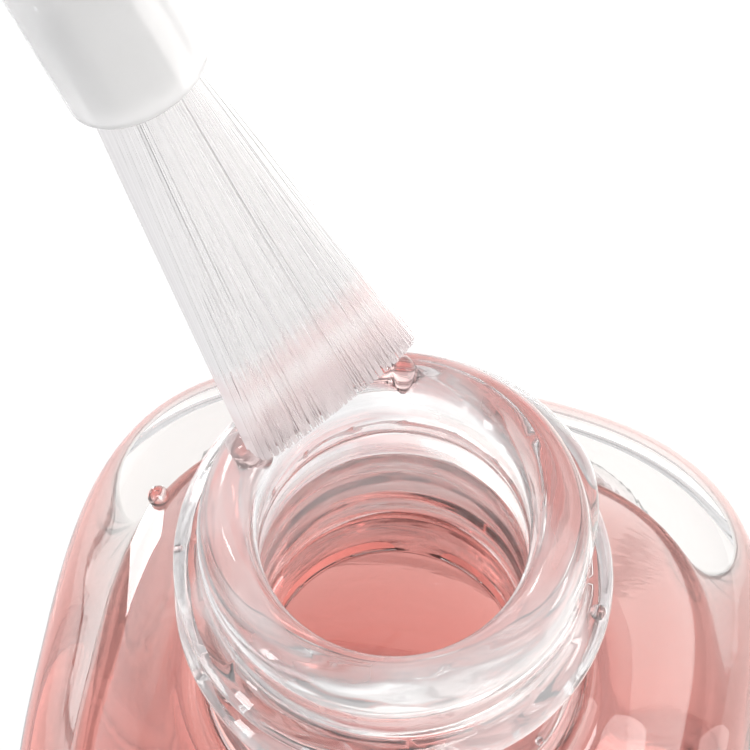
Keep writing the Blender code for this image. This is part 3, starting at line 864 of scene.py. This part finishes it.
def makeFilaments():
    # one fine bristle is modelled, then copied along every path
    b = bristleShape
    last = b["stations"] - 1
    deselectAll()
    bpy.ops.mesh.primitive_cylinder_add(vertices=b["sides"], radius=b["radius"] * mm, depth=1.0,
                                        location=(0, 0, 0.5))
    pattern = nameIt("bristlePattern")
    applyPlace()
    startEdit(pattern)
    for cut in range(1, last):
        bpy.ops.mesh.select_all(action="SELECT")
        bpy.ops.mesh.bisect(plane_co=(0, 0, cut / last), plane_no=(0, 0, 1))
    endEdit()
    rng = random.Random(b["seed"])
    tuft = bmesh.new()
    lanes = []
    along = []
    for number in range(b["count"]):
        path, turn = filamentPath(rng, number % b["innerEvery"] != 0)
        first = len(tuft.verts)
        tuft.from_mesh(pattern.data)
        tuft.verts.ensure_lookup_table()
        for vertex in tuft.verts[first:]:
            station = min(last, round(vertex.co.z * last))
            across, through, height = path[station]
            taper = b["tipTaper"] if station == last else 1.0
            vertex.co = Vector((vertex.co.x * taper + across * mm, vertex.co.y * taper + through * mm,
                                height * mm))
            along.append(-height / tuftShape["length"])
            lanes.append(turn + b["laneStep"] * number)
    bpy.data.objects.remove(pattern, do_unlink=True)
    mesh = bpy.data.meshes.new("bristles")
    tuft.to_mesh(mesh)
    tuft.free()
    bristles = bpy.data.objects.new("bristles", mesh)
    bpy.context.collection.objects.link(bristles)
    markBristles(bristles, {"along": along, "lane": lanes})
    nylon = bristleNylon("nylonBristles", b["streak"], b["seeThrough"])
    finishPiece(bristles, b["smooth"], nylon, brushPlace)
    return bristles


stemShape = {
    "radius": 2.25, "edge": 0.15, "lip": 0.22, "socket": 1.95, "socketDepth": 5.2, "socketRound": 0.4,
    "socketDome": ((0.0, 0.5), (0.8, 0.45)), "rodShort": 3.0, "rodSteps": 12,
    "plugBottom": 28.5, "plug": 3.75, "taperBelow": 2.2, "taperLength": 2.7, "taperSteps": 8,
    "flangeBottom": 33.6, "flangeTop": 34.8, "flange": 5.6, "flangeEdge": 0.2,
    "deckTop": 36.6, "snapNeck": 2.2, "snapHead": 3.0,
    "snapTaper": 0.4, "snapShoulder": 0.8, "snapHeight": 0.9,
    "roundSteps": 96, "smooth": 45,
}


def makeStem():
    s = stemShape
    edge = s["edge"]
    fold = s["flangeEdge"]
    deck = s["deckTop"]
    outline = [(radius, s["socketDepth"] + rise) for radius, rise in s["socketDome"]]
    outline += arcPoints((s["socket"] - s["socketRound"], s["socketDepth"]), s["socketRound"], 80, 0, 5)
    outline += [(s["socket"], s["socketDepth"] * 0.5), (s["socket"], 0.5 * s["lip"])]
    outline += arcPoints((s["radius"] - edge, edge), edge, -90, 0, 6)
    for step in range(1, s["rodSteps"]):
        outline.append((s["radius"], edge + (s["plugBottom"] - s["rodShort"]) * step / s["rodSteps"]))
    for step in range(s["taperSteps"] + 1):
        share = step / s["taperSteps"]
        ease = share * share * (3.0 - 2.0 * share)
        outline.append((s["radius"] + (s["plug"] - s["radius"]) * ease,
                        s["plugBottom"] - s["taperBelow"] + s["taperLength"] * share))
    outline += [(s["plug"], s["flangeBottom"] - fold), (s["plug"] + fold, s["flangeBottom"])]
    outline += arcPoints((s["flange"] - fold, s["flangeBottom"] + fold), fold, -90, 0, 4)
    outline += arcPoints((s["flange"] - fold, s["flangeTop"] - fold), fold, 0, 90, 4)
    outline += [(s["snapNeck"], s["flangeTop"]), (s["snapNeck"], deck)]
    outline += arcPoints((s["snapHead"] - edge, deck + edge), edge, -90, 0, 3)
    outline += [(s["snapHead"] - s["snapTaper"], deck + s["snapShoulder"]),
                (0.5 * s["snapHead"], deck + s["snapHeight"]), (0.0, deck + s["snapHeight"])]
    stem = spinProfile("brushStem", outline, s["roundSteps"])
    finishPiece(stem, s["smooth"], plastic, brushPlace)
    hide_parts("brush_stem")
    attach(stem, "stem")


core = makeCore()
bristles = makeFilaments()
makeStem()
for piece in (core, bristles):
    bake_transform(piece)
dressNode("tuft_staple", steel)
print("brush made")


overcapShape = {
    "bottom": 21.6, "length": 32.5, "radius": 8.8, "wall": 0.9, "topWall": 1.3, "edge": 1.2, "innerEdge": 0.6,
    "lip": 0.25, "lipHeight": 0.4, "sideShort": 1.7, "sideSteps": 8, "topRings": (0.55, 0.3, 0.0),
    "roundSteps": 128, "smooth": 40,
}


def makeOvercap():
    s = overcapShape
    lip = s["lip"]
    top = s["bottom"] + s["length"]
    ceiling = top - s["topWall"]
    bore = s["radius"] - s["wall"]
    outline = [(0.0, ceiling), (0.5 * bore, ceiling)]
    outline += arcPoints((bore - s["innerEdge"], ceiling - s["innerEdge"]), s["innerEdge"], 90, 0, 6)
    outline += [(bore, s["bottom"] + 0.5 * s["length"]), (bore, s["bottom"] + s["lipHeight"])]
    outline += arcPoints((bore + lip, s["bottom"] + lip), lip, 180, 270, 4)
    outline += arcPoints((s["radius"] - lip, s["bottom"] + lip), lip, -90, 0, 4)
    for step in range(1, s["sideSteps"]):
        outline.append((s["radius"],
                        s["bottom"] + lip + (s["length"] - s["sideShort"]) * step / s["sideSteps"]))
    outline += arcPoints((s["radius"] - s["edge"], top - s["edge"]), s["edge"], 0, 90, 10)
    outline += [(share * s["radius"], top) for share in s["topRings"]]
    overcap = spinProfile("overcapShell", outline, s["roundSteps"])
    lane = overcap.data.attributes.new("lane", "FLOAT", "POINT")
    lane.data.foreach_set("value", [math.atan2(vertex.co.y, vertex.co.x) for vertex in overcap.data.vertices])
    finishPiece(overcap, s["smooth"], satinSilver(), brushPlace)
    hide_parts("overcap")
    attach(overcap, "overcap")


linerShape = {
    "bottom": 32.5, "thickness": 0.8, "outer": 5.6, "inner": 4.05, "edge": 0.15,
    "roundSteps": 96, "smooth": 50,
}


def makeLiner():
    s = linerShape
    low = s["bottom"]
    top = low + s["thickness"]
    soft = s["edge"]
    outline = arcPoints((s["inner"] + soft, top - soft), soft, 90, 180, 4)
    outline += arcPoints((s["inner"] + soft, low + soft), soft, 180, 270, 4)
    outline += arcPoints((s["outer"] - soft, low + soft), soft, -90, 0, 4)
    outline += arcPoints((s["outer"] - soft, top - soft), soft, 0, 90, 4)
    outline.append(outline[0])
    liner = spinProfile("capLiner", outline, s["roundSteps"])
    finishPiece(liner, s["smooth"], sealFoam(), brushPlace)
    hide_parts("cap_liner")
    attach(liner, "cap")


makeOvercap()
makeLiner()
dressNode("inner_cap", whitePlastic())
print("caps made")


cameraPlan = {
    "elevation": 66.0, "azimuth": 11.0, "distance": 260.0, "shownWidth": 22.19,
    "rimAcross": 0.526, "rimDown": 0.6947, "sensor": 36.0, "clipStart": 0.01,
}


def makeCamera():
    s = cameraPlan
    elevation = math.radians(s["elevation"])
    azimuth = math.radians(s["azimuth"])
    right = Vector((math.cos(azimuth), math.sin(azimuth), 0.0))
    level = Vector((-math.sin(azimuth), math.cos(azimuth), 0.0))
    forward = level * math.cos(elevation) - Vector((0, 0, 1)) * math.sin(elevation)
    upward = right.cross(forward)
    rim = Vector((0.0, 0.0, rimTop))
    eye = rim - forward * s["distance"] * mm
    target = rim - right * (s["rimAcross"] - 0.5) * s["shownWidth"] * mm
    target += upward * (s["rimDown"] - 0.5) * s["shownWidth"] * mm
    data = bpy.data.cameras.new("camera")
    data.sensor_width = s["sensor"]
    data.lens = s["sensor"] * s["distance"] / s["shownWidth"]
    data.clip_start = s["clipStart"]
    camera = bpy.data.objects.new("camera", data)
    bpy.context.collection.objects.link(camera)
    camera.location = eye
    camera.rotation_euler = (target - eye).to_track_quat("-Z", "Y").to_euler()
    bpy.context.scene.camera = camera


# place and aim in metres, size in metres, power in watts
lightPlan = {
    "windowLeft": {"place": (-0.36, 0.30, 0.40), "aim": (0, 0, 0.045), "size": (0.09, 0.18), "power": 0.9},
    "fillFront": {"place": (-0.36, -0.34, 0.22), "aim": (0, 0, 0.050), "size": (0.06, 0.20), "power": 0.48},
    "softRight": {"place": (0.40, 0.10, 0.35), "aim": (0, 0, 0.045), "size": (0.10, 0.10), "power": 0.3},
    "glowRight": {"place": (0.16, 0.02, 0.02), "aim": (0, 0, 0.030), "size": (0.09, 0.16), "power": 0.12,
                  "colour": (1.0, 0.95, 0.93)},
}


def makeLights():
    for name, plan in lightPlan.items():
        data = bpy.data.lights.new(name, "AREA")
        data.shape = "RECTANGLE"
        data.size, data.size_y = plan["size"]
        data.energy = plan["power"]
        data.color = plan.get("colour", (1, 1, 1))
        light = bpy.data.objects.new(name, data)
        bpy.context.collection.objects.link(light)
        light.location = plan["place"]
        beam = Vector(plan["aim"]) - Vector(plan["place"])
        light.rotation_euler = beam.to_track_quat("-Z", "Y").to_euler()


tableShape = {"radius": 1.2, "sides": 96, "below": 0.05}


def makeFloor():
    t = tableShape
    deselectAll()
    bpy.ops.mesh.primitive_circle_add(vertices=t["sides"], radius=t["radius"], fill_type="NGON",
                                      location=(0, 0, -t["below"] * mm))
    floor = nameIt("floor")
    applyPlace()
    floor.data.materials.append(paleFloor())


airLook = {
    "low": (0.80, 0.80, 0.805), "middle": (0.90, 0.90, 0.905), "high": (0.76, 0.76, 0.765), "middleAt": 0.4,
    "leftDimming": 0.76,
}


def makeWorld():
    # soft air: palest a little above the horizon, darker above and on the left
    a = airLook
    world = bpy.data.worlds.new("studioAir")
    world.use_nodes = True
    bpy.context.scene.world = world
    tree = world.node_tree
    where = addNode(tree, "ShaderNodeTexCoord")
    across = addNode(tree, "ShaderNodeSeparateXYZ", output=0, _0=where)
    height = addNode(tree, "ShaderNodeSeparateXYZ", output=2, _0=where)
    stops = ((0.0, a["low"]), (1.0, a["high"]), (a["middleAt"], a["middle"]))
    shade = addNode(tree, "ShaderNodeValToRGB", {"stops": stops}, _0=height)
    side = addNode(tree, "ShaderNodeMapRange", Value=across, From_Min=-1.0, To_Min=a["leftDimming"])
    back = tree.nodes["Background"]
    tree.links.new(shade.socket, back.inputs["Color"])
    tree.links.new(side.socket, back.inputs["Strength"])


makeCamera()
makeFloor()
makeWorld()
makeLights()
bpy.context.scene.view_settings.view_transform = "Standard"
print("studio made")
